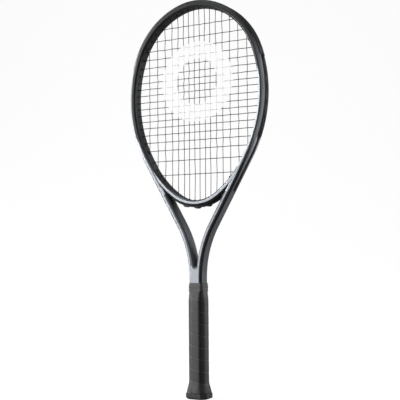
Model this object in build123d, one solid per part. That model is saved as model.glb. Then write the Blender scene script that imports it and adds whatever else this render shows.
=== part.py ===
from build123d import *
import os
from math import asin, cos, degrees, hypot, radians, sin, sqrt

# A tennis racket: hollow hairpin frame, bonded throat bridge, moulded handle, string bed.
# Frame: +Z runs from the butt to the tip, +X is across the face, -Y is the front face.
# The origin is the centre of the butt end. All sizes are in millimetres.

# ---- driving dimensions ----------------------------------------------------------
overall_length = 685.8      # butt end to the outside of the bumper guard
tube_width = 11.0           # frame tube across, in the plane of the face
tube_depth = 23.0           # frame tube front to back (the beam)
tube_bevel = 2.7            # bevel between a front or back flat and a side wall
tube_edge_round = 0.9       # rounding of the edges beside each bevel
tube_wall = 1.6             # wall of the hollow tube

# Centreline of the hoop, from the tip round to the straight throat arm:
# (radius, angle turned) of three tangent arcs.
hoop_arcs = [(101.4, 16.8), (130.4, 53.6), (219.0, 49.6)]
neck_radius = 182.0         # arc that turns each throat arm into the shaft
leg_offset = 6.65           # each leg of the hairpin from the middle of the shaft
crotch_radius = 2.35        # rounded bottom of the throat opening

bridge_arcs = [(175.0, 25.0), (72.0, 35.0)]   # arm to middle of the throat bridge
bridge_width = 10.0
bridge_wall = 2.0
bridge_edge_round = 0.5

# Grommet strips lie in a groove round the outside of the hoop.
groove_depth = 1.6
groove_width = 6.6
strip_clearance = 0.2       # strip to each side of its groove
strip_base = 0.8            # floor of a strip under the string
strip_rise = 0.6            # strip's lips above the outside of the tube
channel_width = 3.2         # string channel in a strip
bumper_thickness = 1.2      # bumper guard outside the tube
bumper_width = 17.2
bumper_drop = 110.8         # from the tip down to where the bumper guard stops
side_strip_drop = 331.8     # from the tip down to where a side strip stops
strip_gap = 0.5             # between the bumper guard and a side strip

barrel_radius = 1.7         # grommet barrel
barrel_clearance = 0.1      # barrel in its hole
barrel_bore_radius = 0.85
barrel_reach = 1.2          # barrel standing out inside the hoop
bend_ahead = 0.8            # from a string's bend to the mouth of its barrel

string_radius = 0.65
string_gap = 0.1            # between a main and the cross that it passes
main_x = [5.0, 15.8, 26.2, 37.8, 50.1, 64.4, 80.1, 97.0]
bridge_mains = 5            # mains, counted from the middle, that end in the bridge
cross_drop = [41.4, 61.6, 78.5, 93.5, 107.9, 121.6, 134.2, 145.7, 157.3, 169.7,
              181.4, 193.0, 204.5, 216.3, 229.3, 243.0, 257.9, 277.1, 302.1]
knot_radius = 1.5

# Throat strip under the bridge, with a hump over each string loop.
throat_strip_width = 9.6
throat_strip_depth = 2.0
hump_radius = 6.0
hump_height = 2.2

# Handle: the lower legs are cut to a tenon, and two pallets are bonded round it.
grip_top = 190.0            # top edge of the grip wrap
grip_width = 33.0           # across the grip in X, between flats
grip_depth = 29.0           # front to back
grip_bevel = 7.4
wrap_thickness = 1.8
tenon_top = 187.0
tenon_width = 22.0
tenon_depth = 21.0
tenon_bevel = 4.5
tenon_bottom = 14.0
leg_bore_inner = 2.85       # hollow of each leg inside the handle, from the middle plane
leg_bore_wall = 2.15        # wall left outside it in the tenon
leg_bore_depth = 13.6
leg_bore_top = 200.0
taper_start = 165.0         # where the handle starts to slim towards the shaft
top_skin = 0.7              # wrap left round the full shaft at the top of the grip
top_bevel_growth = 0.5
shaft_clearance = 0.05      # wrap and collar off the shaft
seat_relief = 0.1           # sanded off the front and back of the shaft, under the collar
seat_top = 197.5
wrap_top_thickness = 1.1    # wrap over the top of the pallets
foam_clearance = 0.1
foam_bottom = 40.0
foam_top = 184.0

# Butt cap, its door and its fixings.
cap_width = 41.0            # widest part of the flared cap
cap_depth = 37.0
cap_widest = 5.0            # height of the widest part
cap_end_round = 2.6
cap_flare_top = 30.0        # height where the flare meets the plain grip
cap_floor = 9.0             # solid end of the cap, under the pallets
cap_skirt_top = 34.0
cap_skirt = 0.9
wrap_bottom = 9.4
door_width = 21.0
door_depth = 17.0
door_bevel = 4.0
door_clearance = 0.3        # all round the door
door_ledge = 1.5            # ledge that the door rests against
door_seat = 1.8             # depth of the door's recess
door_plug_height = 5.0
door_plug_wall = 1.4
weight_bottom = 18.0        # slugs that balance the racket, one in each leg
weight_height = 14.0
staple_radius = 0.4
staple_span = 9.0
staple_leg = 2.4
staple_height = 22.0
tape_bottom = 181.0
tape_thickness = 0.3
collar_bottom = 187.0
collar_top = 196.0
collar_thickness = 0.5
tack_radius = 1.1
tack_head = 0.5
tack_shank = 0.6
tack_length = 3.0
flare_steps = 9             # levels down the flare

# ---- values worked out from the sizes above --------------------------------------
half_width = tube_width / 2
half_depth = tube_depth / 2
tip_centre_z = overall_length - bumper_thickness - half_width
cross_z = [overall_length - drop for drop in cross_drop]
main_y = -(string_radius + string_gap / 2)
cross_y = string_radius + string_gap / 2
strip_floor = half_width - groove_depth             # groove bottom, out from centreline
channel_floor = strip_floor + strip_base
string_lane = channel_floor + string_radius + string_gap
leg_bore_width = tenon_width / 2 - leg_bore_inner - leg_bore_wall
leg_bore_x = leg_bore_inner + leg_bore_width / 2


# ---- centreline ------------------------------------------------------------------
def heading_vector(heading):
    """Direction of travel, for a heading in degrees clockwise from +X."""
    return cos(radians(heading)), -sin(radians(heading))


def outward(heading):
    """Outward normal of the centreline, to the left of the direction of travel."""
    return sin(radians(heading)), cos(radians(heading))


def arc_run(start, heading, radius, turn):
    """One arc of a rail: clockwise for a positive turn."""
    side = 1 if turn > 0 else -1
    nx, nz = outward(heading)
    centre = (start[0] - side * radius * nx, start[1] - side * radius * nz)
    return {"kind": "arc", "centre": centre, "radius": radius, "from": heading,
            "turn": turn, "side": side, "length": radius * abs(radians(turn))}


def line_run(start, heading, length):
    """One straight run of a rail."""
    return {"kind": "line", "start": start, "from": heading, "turn": 0, "length": length}


def run_point(run, travel, offset):
    """Point of a run after a given travel, at an offset outwards, and its heading."""
    if run["kind"] == "line":
        dx, dz = heading_vector(run["from"])
        nx, nz = outward(run["from"])
        x = run["start"][0] + travel * dx + offset * nx
        z = run["start"][1] + travel * dz + offset * nz
        return (x, z), run["from"]
    heading = run["from"] + run["side"] * degrees(travel / run["radius"])
    nx, nz = outward(heading)
    reach = run["side"] * run["radius"] + offset
    return (run["centre"][0] + reach * nx, run["centre"][1] + reach * nz), heading


def chain(start, heading, arcs):
    """Runs that follow each other along arcs given as (radius, turn)."""
    runs = []
    for radius, turn in arcs:
        run = arc_run(start, heading, radius, turn)
        runs.append(run)
        start, heading = run_point(run, run["length"], 0)
    return runs, start, heading


def half_frame_rail():
    """Right half of the hairpin: tip, hoop, throat arm, neck and leg."""
    runs, start, heading = chain((0, tip_centre_z), 0, hoop_arcs)
    lean = heading - 90
    neck_shift = neck_radius * (1 - cos(radians(lean)))
    arm_length = (start[0] - neck_shift - leg_offset) / sin(radians(lean))
    runs.append(line_run(start, heading, arm_length))
    start, heading = run_point(runs[-1], arm_length, 0)
    runs.append(arc_run(start, heading, neck_radius, -lean))
    start, heading = run_point(runs[-1], runs[-1]["length"], 0)
    runs.append(line_run(start, heading, start[1] - tenon_bottom))
    return runs


def half_bridge_rail(frame_runs):
    """Right half of the bridge, from the arm to the middle, leaving the arm tangentially."""
    arm = frame_runs[len(hoop_arcs)]
    reach = 0
    heading = arm["from"]
    for radius, turn in bridge_arcs:
        reach += radius * (sin(radians(heading)) - sin(radians(heading + turn)))
        heading += turn
    travel = (arm["start"][0] - reach) / sin(radians(arm["from"] - 90))
    start, heading = run_point(arm, travel, 0)
    return chain(start, heading, bridge_arcs)[0]


def place(rail, travel, offset):
    """Point and heading anywhere along a rail."""
    for run in rail[:-1]:
        if travel <= run["length"]:
            return run_point(run, travel, offset)
        travel -= run["length"]
    return run_point(rail[-1], travel, offset)


def travel_where(rail, offset, axis, value, first=0.0, last=None):
    """Travel at which the offset rail reaches a given X (axis 0) or Z (axis 1)."""
    low = first
    high = sum(run["length"] for run in rail) if last is None else last
    rising = place(rail, low, offset)[0][axis] < value
    for _ in range(60):
        middle = (low + high) / 2
        if (place(rail, middle, offset)[0][axis] < value) == rising:
            low = middle
        else:
            high = middle
    return (low + high) / 2


# ---- small solids ----------------------------------------------------------------
def at(point, y=0.0):
    """A point of the face plane as a point of the model."""
    return (point[0], y, point[1])


def rail_edges(rail, offset, first, last):
    """Edges that follow a rail at an offset, between two travels."""
    edges = []
    passed = 0.0
    for run in rail:
        begin = max(first - passed, 0.0)
        end = min(last - passed, run["length"])
        passed += run["length"]
        if end - begin < 1e-6:
            continue
        p0 = at(run_point(run, begin, offset)[0])
        p1 = at(run_point(run, end, offset)[0])
        if run["kind"] == "line":
            edges.append(Line(p0, p1))
        else:
            middle = at(run_point(run, (begin + end) / 2, offset)[0])
            edges.append(ThreePointArc(p0, middle, p1))
    return edges


def mirrored(shape):
    """Copy of a shape on the other side of the middle plane."""
    return mirror(shape, about=Plane.YZ)


def band(rail, inner, outer, first, last, depth):
    """Strip between two offsets of a rail, as thick as depth front to back."""
    edges = rail_edges(rail, inner, first, last) + rail_edges(rail, outer, first, last)
    for travel in (first, last):
        start = at(place(rail, travel, inner)[0])
        edges.append(Line(start, at(place(rail, travel, outer)[0])))
    face = make_face(Wire.combine(edges, tol=1e-3)[0])
    return extrude(face, amount=depth / 2, both=True)


def arch(rail, inner, outer, first, last, depth):
    """Strip like a band that carries on across the middle plane to the other side."""
    edges = rail_edges(rail, inner, first, last) + rail_edges(rail, outer, first, last)
    for travel in (first, last):
        start = place(rail, travel, inner)[0]
        if abs(start[0]) > 1e-6:
            edges.append(Line(at(start), at(place(rail, travel, outer)[0])))
    edges += [mirrored(edge) for edge in edges]
    face = make_face(Wire.combine(edges, tol=1e-3)[0])
    return extrude(face, amount=depth / 2, both=True)


def rod(start, end, radius):
    """Round rod between two points of the model."""
    axis = Vector(end) - Vector(start)
    plane = Plane(origin=start, z_dir=axis.normalized())
    return plane * extrude(Circle(radius), amount=axis.length)


def octagon(width, depth, bevel, z):
    """Eight-sided handle section at a height."""
    hw = width / 2
    hd = depth / 2
    corners = [(hw - bevel, hd), (hw, hd - bevel), (hw, bevel - hd), (hw - bevel, -hd),
               (bevel - hw, -hd), (-hw, bevel - hd), (-hw, hd - bevel), (bevel - hw, hd)]
    return Plane.XY.offset(z) * make_face(Polyline(*corners, close=True))


def octagon_prism(width, depth, bevel, low, high):
    return extrude(octagon(width, depth, bevel, low), amount=high - low)


def octagon_stack(levels):
    """Ruled octagons through levels of (height, width, depth, bevel)."""
    return loft([octagon(w, d, b, z) for z, w, d, b in levels], ruled=True)


def inset_bevel(bevel, inset):
    """Bevel of an octagon whose eight sides are all moved in by the same inset."""
    return bevel - inset * (2 - sqrt(2))


frame_rail = half_frame_rail()
bridge_rail = half_bridge_rail(frame_rail)
frame_length = sum(run["length"] for run in frame_rail)
bridge_length = sum(run["length"] for run in bridge_rail)
hoop_length = sum(run["length"] for run in frame_rail[:len(hoop_arcs) + 1])
bumper_travel = travel_where(frame_rail, 0, 1, overall_length - bumper_drop, 0, hoop_length)
strip_travel = travel_where(frame_rail, 0, 1, overall_length - side_strip_drop, 0, hoop_length)


# ---- string routes ---------------------------------------------------------------
def grommet(string_point, exit_point, y):
    """Where a string bends at the inside of the hoop and where it comes out."""
    return {"in": at(string_point, y), "out": at(exit_point, y)}


inner_reach = -(half_width + barrel_reach + bend_ahead)
bridge_reach = -(bridge_width / 2 + barrel_reach + bend_ahead)


def hoop_grommet(axis, value, y, first, last):
    """Grommet on the hoop, square to the tube, for a string at a given X or Z."""
    travel = travel_where(frame_rail, inner_reach, axis, value, first, last)
    inside = place(frame_rail, travel, inner_reach)[0]
    outside = place(frame_rail, travel, string_lane)[0]
    return dict(grommet(inside, outside, y), travel=travel)


def arm_grommet(x):
    """Grommet of an outer main: in at the bridge's oval, out square to the throat arm."""
    travel = travel_where(bridge_rail, bridge_reach, 0, x)
    above_bridge = place(bridge_rail, 0, bridge_reach)[0][0] < x
    arm = frame_rail[len(hoop_arcs)]
    if above_bridge:
        inside = place(frame_rail, travel_where(frame_rail, inner_reach, 0, x, widest_travel,
                                                hoop_length), inner_reach)[0]
    else:
        inside = place(bridge_rail, travel, bridge_reach)[0]
    nx, nz = outward(arm["from"])
    dx, dz = heading_vector(arm["from"])
    away = (inside[0] - arm["start"][0], inside[1] - arm["start"][1])
    along = away[0] * dx + away[1] * dz
    across = away[0] * nx + away[1] * nz
    outside = (inside[0] + (string_lane - across) * nx, inside[1] + (string_lane - across) * nz)
    before = sum(run["length"] for run in frame_rail[:len(hoop_arcs)])
    return dict(grommet(inside, outside, main_y), travel=before + along)


def bridge_grommet(x):
    """Grommet in the bridge, along the string."""
    inside = place(bridge_rail, travel_where(bridge_rail, bridge_reach, 0, x), bridge_reach)[0]
    lane = bridge_width / 2 - groove_depth + strip_base + string_radius + string_gap
    travel = travel_where(bridge_rail, lane, 0, x)
    outside = place(bridge_rail, travel, lane)[0]
    return dict(grommet((x, inside[1]), (x, outside[1]), main_y), travel=travel)


widest_travel = travel_where(frame_rail, 0, 1, frame_rail[2]["centre"][1], 0, hoop_length)
main_tops = [hoop_grommet(0, x, main_y, 0, widest_travel) for x in main_x]
main_feet = [bridge_grommet(x) for x in main_x[:bridge_mains]]
main_feet += [arm_grommet(x) for x in main_x[bridge_mains:]]
cross_ends = [hoop_grommet(1, z, cross_y, 0, hoop_length) for z in cross_z]
hoop_grommets = main_tops + cross_ends + main_feet[bridge_mains:]
bumper_grommets = [g for g in hoop_grommets if g["travel"] < bumper_travel]
side_grommets = [g for g in hoop_grommets if g["travel"] > bumper_travel]
bridge_grommets = main_feet[:bridge_mains]


def barrel(spot, radius, start_extra=0.0, end_extra=0.0):
    """Cylinder along a grommet, longer or shorter at its ends."""
    way = (Vector(*spot["out"]) - Vector(*spot["in"])).normalized()
    start = Vector(*spot["in"]) - way * start_extra
    end = Vector(*spot["out"]) + way * end_extra
    return rod(start, end, radius)


# ---- frame -----------------------------------------------------------------------
def crotch_height():
    """Centre of the arc that rounds the bottom of the throat opening."""
    neck = frame_rail[-2]
    gap = neck_radius + half_width + crotch_radius
    return neck["centre"][1] + sqrt(gap ** 2 - neck["centre"][0] ** 2)


def hairpin_outline(outer_offset, inner_offset):
    """Face of the hairpin in the plane of the racket, with its keyhole opening."""
    shaft_edges = rail_edges(frame_rail, outer_offset, 0, frame_length)
    foot = place(frame_rail, frame_length, outer_offset)[0]
    edges = shaft_edges + [mirrored(edge) for edge in shaft_edges]
    edges.append(Line(at(foot), at((-foot[0], foot[1]))))
    outside = make_face(Wire.combine(edges, tol=1e-3)[0])

    neck = frame_rail[-2]
    centre_z = crotch_height()
    lean = degrees(asin((centre_z - neck["centre"][1]) / (neck_radius + half_width + crotch_radius)))
    before_neck = frame_length - frame_rail[-1]["length"] - neck["length"]
    neck_travel = neck["length"] - neck_radius * radians(lean)
    inner_edges = rail_edges(frame_rail, inner_offset, 0, before_neck + neck_travel)
    touch = place(frame_rail, before_neck + neck_travel, inner_offset)[0]
    edges = inner_edges + [mirrored(edge) for edge in inner_edges]
    bottom = (0, 0, centre_z - crotch_radius)
    edges.append(ThreePointArc(at((-touch[0], touch[1])), bottom, at(touch)))
    return outside - make_face(Wire.combine(edges, tol=1e-3)[0])


def bevel_faces(solid, depth, bevel, edge_round, keep_low):
    """Bevel the front and back rims, then round the edges beside each bevel."""
    rims = [e for e in solid.edges() if abs(abs(e.center().Y) - depth / 2) < 1e-4]
    rims = [e for e in rims if e.bounding_box().max.Z > keep_low]
    solid = chamfer(rims, bevel)
    levels = (depth / 2, depth / 2 - bevel)
    sharp = [e for e in solid.edges()
             if e.bounding_box().size.Y < 1e-4 and e.bounding_box().max.Z > keep_low
             and min(abs(abs(e.center().Y) - level) for level in levels) < 1e-4]
    return fillet(sharp, edge_round)


def hairpin_body():
    """Hairpin before it is hollowed or drilled."""
    body = extrude(hairpin_outline(half_width, -half_width), amount=half_depth, both=True)
    return bevel_faces(body, tube_depth, tube_bevel, tube_edge_round, tenon_bottom + 1)


def tenon_trim():
    """Everything that is cut off the lower legs to leave the handle's tenon."""
    reach = 2 * grip_width
    block = Pos(0, 0, tenon_top / 2) * Box(reach, reach, tenon_top)
    tenon = octagon_prism(tenon_width, tenon_depth, tenon_bevel, 0, tenon_top)
    skim = Pos(0, half_depth - seat_relief + reach / 2, seat_top / 2) * Box(reach, reach, seat_top)
    return [block - tenon, skim, mirror(skim, about=Plane.XZ)]


def frame_voids():
    """Hollow of the tube, and the smaller hollow of each leg inside the handle."""
    void_end = frame_length - (leg_bore_top - 4 - tenon_bottom)
    inner = tube_wall - half_width
    outer = half_width - groove_depth - tube_wall
    tube = arch(frame_rail, inner, outer, 0, void_end, tube_depth - 2 * tube_wall)
    leg = Pos(leg_bore_x, 0, leg_bore_top / 2) * Box(leg_bore_width, leg_bore_depth, leg_bore_top)
    return [tube, leg, mirrored(leg)]


def frame_holes():
    """Drilled holes for the grommet barrels, on both sides."""
    radius = barrel_radius + barrel_clearance
    holes = [barrel(g, radius, 1, 3) for g in hoop_grommets]
    return holes + [mirrored(h) for h in holes]


# ---- bridge ----------------------------------------------------------------------
def bridge_body(hairpin):
    """Bridge before it is hollowed: the lower part of the hoop's oval, between the arms."""
    rim = bridge_width / 2
    whole = arch(bridge_rail, -rim, rim, 0, bridge_length, tube_depth)
    whole = bevel_faces(whole, tube_depth, tube_bevel, bridge_edge_round, 0)
    return whole - hairpin


def bridge_free_start():
    """Travel along the bridge at which its whole width has left the arm."""
    arm = frame_rail[len(hoop_arcs)]
    nx, nz = outward(arm["from"])
    travel = 0.0
    while travel < bridge_length:
        spot = place(bridge_rail, travel, bridge_width / 2)[0]
        across = (spot[0] - arm["start"][0]) * nx + (spot[1] - arm["start"][1]) * nz
        if across < -half_width - 1:
            break
        travel += 0.5
    return travel


# ---- string guards ---------------------------------------------------------------
def strip_profile(rail, rim, first, last, width, top):
    """Half of a strip: floor, lips and the channel for the string."""
    floor = rim - groove_depth
    body = band(rail, floor, top, first, last, width)
    return body - band(rail, floor + strip_base, top + 1, first - 1, last + 1, channel_width)


def with_barrels(strip, spots, both=False):
    """Add the barrels of a strip and bore them, on one side or on both."""
    stop = string_radius + string_gap + strip_base / 2
    tubes = [barrel(g, barrel_radius, -bend_ahead, -stop) for g in spots]
    bores = [barrel(g, barrel_bore_radius, 1, 1) for g in spots]
    if both:
        tubes += [mirrored(tube) for tube in tubes]
        bores += [mirrored(bore) for bore in bores]
    return strip + tubes - bores


def bumper_guard():
    """Guard over the tip, with the upper grommets in one piece with it."""
    rib_width = groove_width - 2 * strip_clearance
    rib = arch(frame_rail, strip_floor, half_width, 0, bumper_travel, rib_width)
    shell_top = half_width + bumper_thickness
    shell = arch(frame_rail, half_width, shell_top, 0, bumper_travel, bumper_width)
    outer = [e for e in shell.edges().filter_by(lambda e: e.bounding_box().size.Y < 1e-4)
             if abs(abs(e.center().Y) - bumper_width / 2) < 1e-4]
    tip_out = [e for e in outer if e.length > 10 and not on_inner_rim(e)]
    shell = chamfer(tip_out, bumper_thickness * 0.6)
    channel = arch(frame_rail, channel_floor, shell_top + 1, 0, bumper_travel + 1, channel_width)
    return with_barrels(rib + shell - channel, bumper_grommets, both=True)


def on_inner_rim(edge):
    """True for an edge that lies on the outside face of the tube."""
    point = edge @ 0.5
    for run in frame_rail[:len(hoop_arcs)]:
        away = hypot(abs(point.X) - run["centre"][0], point.Z - run["centre"][1])
        if abs(away - run["radius"] - half_width) < 1e-3:
            return True
    return False


def side_strip():
    """Grommet strip down the right side of the hoop."""
    first = bumper_travel + strip_gap
    width = groove_width - 2 * strip_clearance
    strip = strip_profile(frame_rail, half_width, first, strip_travel, width,
                          half_width + strip_rise)
    return with_barrels(strip, side_grommets)


def throat_strip():
    """Grommet strip under the bridge, with humps over its string loops."""
    rim = bridge_width / 2
    first = travel_where(bridge_rail, rim, 0, main_x[bridge_mains - 1] + barrel_radius)
    skin = arch(bridge_rail, rim, rim + throat_strip_depth, first, bridge_length,
                throat_strip_width)
    rib_width = groove_width - 2 * strip_clearance
    rib = arch(bridge_rail, rim - groove_depth, rim, first, bridge_length, rib_width)
    above = arch(bridge_rail, -rim, rim, 0, bridge_length, tube_depth)
    hump_offset = rim + throat_strip_depth + hump_height - hump_radius
    humps = []
    for x in hump_places():
        travel = travel_where(bridge_rail, hump_offset, 0, x)
        centre = at(place(bridge_rail, travel, hump_offset)[0], -throat_strip_width / 2)
        hump = Plane(origin=centre, z_dir=(0, 1, 0)) * extrude(Circle(hump_radius),
                                                               amount=throat_strip_width)
        humps.append(hump - above)
        if x > 0:
            humps.append(mirrored(hump) - above)
    lane = arch(bridge_rail, rim - groove_depth + strip_base, rim + 20, 0, bridge_length,
                channel_width)
    return with_barrels(skin + rib + humps, bridge_grommets, both=True) - lane


def hump_places():
    """Middle of each string loop under the bridge, on the right side and at the centre."""
    places = [0]
    for first in range(1, bridge_mains - 1, 2):
        places.append((main_x[first] + main_x[first + 1]) / 2)
    return places


# ---- strings ---------------------------------------------------------------------
def bent_string(points):
    """String through its points, with mitred corners."""
    path = Polyline(*points)
    start = Plane(origin=points[0], z_dir=path % 0)
    return sweep(start * Circle(string_radius), path=path, transition=Transition.RIGHT)


def other_side(point):
    return (-point[0], point[1], point[2])


def loop(rail, lane, first, last, y):
    """Stretch of string along the outside of the frame, from one grommet to the next."""
    clear = string_radius + string_gap / 2
    begin = min(first, last) + clear
    end = max(first, last) - clear
    return laid_string(rail, lane, begin, end, y)


def laid_string(rail, lane, begin, end, y):
    """String laid along a rail between two travels."""
    path = Pos(0, y, 0) * Wire.combine(rail_edges(rail, lane, begin, end), tol=1e-3)[0]
    start = Plane(origin=path @ 0, z_dir=path % 0)
    return sweep(start * Circle(string_radius), path=path)


def main_strings():
    """Upright strings, with the loops that join them round the frame."""
    halves = []
    for top, foot in zip(main_tops, main_feet):
        halves.append(bent_string([foot["out"], foot["in"], top["in"], top["out"]]))
    for first in range(0, len(main_x) - 1, 2):
        travels = main_tops[first]["travel"], main_tops[first + 1]["travel"]
        halves.append(loop(frame_rail, string_lane, *travels, main_y))
    lane = bridge_width / 2 - groove_depth + strip_base + string_radius + string_gap
    for first in range(1, bridge_mains - 1, 2):
        travels = main_feet[first]["travel"], main_feet[first + 1]["travel"]
        halves.append(loop(bridge_rail, lane, *travels, main_y))
    outer = main_feet[bridge_mains:]
    halves.append(loop(frame_rail, string_lane, outer[0]["travel"], outer[1]["travel"], main_y))
    middle_start = main_feet[0]["travel"] + string_radius + string_gap / 2
    halves.append(laid_string(bridge_rail, lane, middle_start, bridge_length, main_y))
    return Compound(halves + [mirrored(h) for h in halves])


def cross_strings():
    """Level strings, looped alternately at the left and the right."""
    pieces = []
    for end in cross_ends:
        route = [other_side(end["out"]), other_side(end["in"]), end["in"], end["out"]]
        pieces.append(bent_string(route))
    for first in range(len(cross_ends) - 1):
        travels = cross_ends[first]["travel"], cross_ends[first + 1]["travel"]
        turn = loop(frame_rail, string_lane, *travels, cross_y)
        pieces.append(turn if first % 2 else mirrored(turn))
    return Compound(pieces)


def knot(spot, y_side):
    """Tie-off knot beside a string, just inside the mouth of its barrel."""
    inside = Vector(spot["in"])
    way = (inside - Vector(spot["out"])).normalized()
    beside = string_radius + knot_radius + string_gap
    return Pos(inside + way * knot_radius + Vector(0, y_side * beside, 0)) * Sphere(knot_radius)


# ---- handle ----------------------------------------------------------------------
def handle_levels(inset, top_inset, low, high):
    """Levels of the plain handle, moved in by an inset, slimming towards the shaft."""
    width = 2 * (leg_offset + half_width + top_skin)
    depth = tube_depth + 2 * top_skin
    bevel = tube_bevel + top_bevel_growth
    share = (high - taper_start) / (grip_top - taper_start)
    levels = [(low, grip_width, grip_depth, grip_bevel, inset),
              (taper_start, grip_width, grip_depth, grip_bevel, inset),
              (high, grip_width + share * (width - grip_width),
               grip_depth + share * (depth - grip_depth),
               grip_bevel + share * (bevel - grip_bevel),
               inset + share * (top_inset - inset))]
    return [(z, w - 2 * i, d - 2 * i, inset_bevel(b, i)) for z, w, d, b, i in levels]


def flare(height):
    """How far the butt has flared at a height: 1 at its widest, 0 on the plain grip."""
    share = (cap_flare_top - height) / (cap_flare_top - cap_widest)
    return sin(radians(90 * min(max(share, 0), 1))) ** 1.7


def flare_levels(inset, heights):
    """Levels down the flared butt, moved in by an inset."""
    levels = []
    for z in heights:
        share = flare(z)
        width = grip_width + share * (cap_width - grip_width) - 2 * inset
        depth = grip_depth + share * (cap_depth - grip_depth) - 2 * inset
        levels.append((z, width, depth, inset_bevel(grip_bevel + share, inset)))
    return levels


def spread(low, high, count):
    """Evenly spaced heights."""
    return [low + (high - low) * i / (count - 1) for i in range(count)]


def handle_outside(inset, top_inset):
    """Whole outside of the grip, flare and all, moved in by an inset."""
    heights = spread(wrap_bottom, cap_flare_top, flare_steps)
    upper = handle_levels(inset, top_inset, cap_flare_top, grip_top)
    return octagon_stack(flare_levels(inset, heights) + upper[1:])


def pallet_core():
    """Moulded handle under the wrap, stepped in where the cap's skirt fits."""
    body = octagon_stack(handle_levels(wrap_thickness, wrap_top_thickness, cap_skirt_top, tenon_top))
    plain = octagon(*skirt_seat(), cap_floor)
    return body + extrude(plain, amount=cap_skirt_top - cap_floor)


def skirt_seat():
    """Width, depth and bevel of the pallets inside the cap's skirt."""
    inset = wrap_thickness + cap_skirt
    return grip_width - 2 * inset, grip_depth - 2 * inset, inset_bevel(grip_bevel, inset)


def pallets(core, staples):
    """Front and back handle pallets, bonded together on the middle plane."""
    reach = 2 * grip_top
    space = octagon_prism(tenon_width, tenon_depth, tenon_bevel, 0, tenon_top)
    body = core - space - staples
    front_half = Pos(0, -reach / 2, 0) * Box(reach, reach, reach)
    return body & front_half, body - front_half


def shaft_space():
    """Room that the wrap and its collar leave round the shaft above the pallets."""
    width = 2 * (leg_offset + half_width + shaft_clearance)
    depth = tube_depth - 2 * (seat_relief - shaft_clearance)
    bevel = inset_bevel(tube_bevel, -shaft_clearance) - seat_relief
    return octagon_prism(width, depth, bevel, tenon_top, collar_top + 1)


def grip_wrap(tack):
    """Cushioned wrap over the pallets and the cap's skirt."""
    inside = handle_outside(wrap_thickness, wrap_top_thickness)
    return handle_outside(0, 0) - inside - shaft_space() - tack


def butt_cap(core, fixings):
    """Flared end cap: skirt under the wrap, a rim round the end, and the door's seat."""
    heights = spread(wrap_bottom, cap_flare_top, flare_steps)
    plain = handle_levels(wrap_thickness, wrap_thickness, cap_skirt_top, taper_start)[0]
    skirt = octagon_stack(flare_levels(wrap_thickness, [cap_widest] + heights) + [plain])
    low = flare_levels(0, [cap_end_round])[0]
    corner = cap_end_round * (1 - cos(radians(45)))
    middle = (corner, low[1] - 2 * corner, low[2] - 2 * corner, inset_bevel(low[3], corner))
    end = (0, low[1] - 2 * cap_end_round, low[2] - 2 * cap_end_round,
           inset_bevel(low[3], cap_end_round))
    rim = octagon_stack([end, middle] + flare_levels(0, spread(cap_end_round, wrap_bottom, 4)))
    seat = octagon_prism(door_width, door_depth, door_bevel, -1, door_seat)
    inside = door_ledge
    passage = octagon_prism(door_width - 2 * inside, door_depth - 2 * inside,
                            inset_bevel(door_bevel, inside), -1, cap_floor + 1)
    return skirt + rim - core - seat - passage - fixings


def butt_door():
    """Push-in door in the end of the cap: a plate with a hollow plug behind it."""
    gap = door_clearance
    plate = octagon_prism(door_width - 2 * gap, door_depth - 2 * gap,
                          inset_bevel(door_bevel, gap), 0, door_seat - gap)
    around = door_ledge + gap
    plug = octagon_prism(door_width - 2 * around, door_depth - 2 * around,
                         inset_bevel(door_bevel, around), 0, door_plug_height)
    core = around + door_plug_wall
    hollow = octagon_prism(door_width - 2 * core, door_depth - 2 * core,
                           inset_bevel(door_bevel, core), door_seat - gap, door_plug_height + 1)
    return plate + (plug - hollow)


def cap_staples():
    """One staple on each side, through the cap's skirt into the pallets."""
    crown_x = (skirt_seat()[0] + cap_skirt) / 2
    half_span = staple_span / 2
    ends = [(crown_x - staple_leg, -half_span), (crown_x, -half_span),
            (crown_x, half_span), (crown_x - staple_leg, half_span)]
    path = Polyline(*[(x, y, staple_height) for x, y in ends])
    start = Plane(origin=path @ 0, z_dir=path % 0)
    staple = sweep(start * Circle(staple_radius), path=path, transition=Transition.RIGHT)
    return [staple, mirrored(staple)]


def wrap_tack():
    """Tack that pins the first turn of the wrap, at the back of the butt."""
    low, high = spread(wrap_bottom, cap_flare_top, flare_steps)[1:3]
    height = (low + high) / 2
    surface = flare_levels(0, [height])[0][2] / 2
    inside = (0, surface - tack_head / 2, height)
    outside = (0, surface + tack_head / 2, height)
    return rod(inside, outside, tack_radius) + rod((0, surface - tack_length, height), outside, tack_shank)


def leg_plug(low, high):
    """Plug that fills one leg's bore between two heights, and its twin."""
    plug = Pos(leg_bore_x, 0, (low + high) / 2) * Box(
        leg_bore_width - 2 * foam_clearance, leg_bore_depth - 2 * foam_clearance, high - low)
    return plug, mirrored(plug)


def finishing_tape():
    """Tape round the top edge of the wrap."""
    levels = handle_levels(0, 0, tape_bottom, grip_top)
    share = (tape_bottom - taper_start) / (grip_top - taper_start)
    plain, top = levels[0], levels[2]
    bottom = [tape_bottom] + [a + share * (b - a) for a, b in zip(plain[1:], top[1:])]
    inner = octagon_stack([bottom, top])
    return octagon_stack([grown(bottom, tape_thickness), grown(top, tape_thickness)]) - inner


def grown(level, by):
    """A level whose eight sides are all moved out."""
    z, width, depth, bevel = level
    return z, width + 2 * by, depth + 2 * by, inset_bevel(bevel, -by)


def grip_collar(inside):
    """Rubber collar over the top of the tape, closing on the shaft."""
    levels = handle_levels(0, 0, tape_bottom, grip_top)
    share = (collar_bottom - taper_start) / (grip_top - taper_start)
    plain, top = levels[0], levels[2]
    bottom = [collar_bottom] + [a + share * (b - a) for a, b in zip(plain[1:], top[1:])]
    over = tape_thickness + collar_thickness
    end = (collar_top, *grown(top, tape_thickness - top_skin / 2)[1:])
    ring = octagon_stack([grown(bottom, over), grown(top, over), end])
    return ring - shaft_space() - inside


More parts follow.
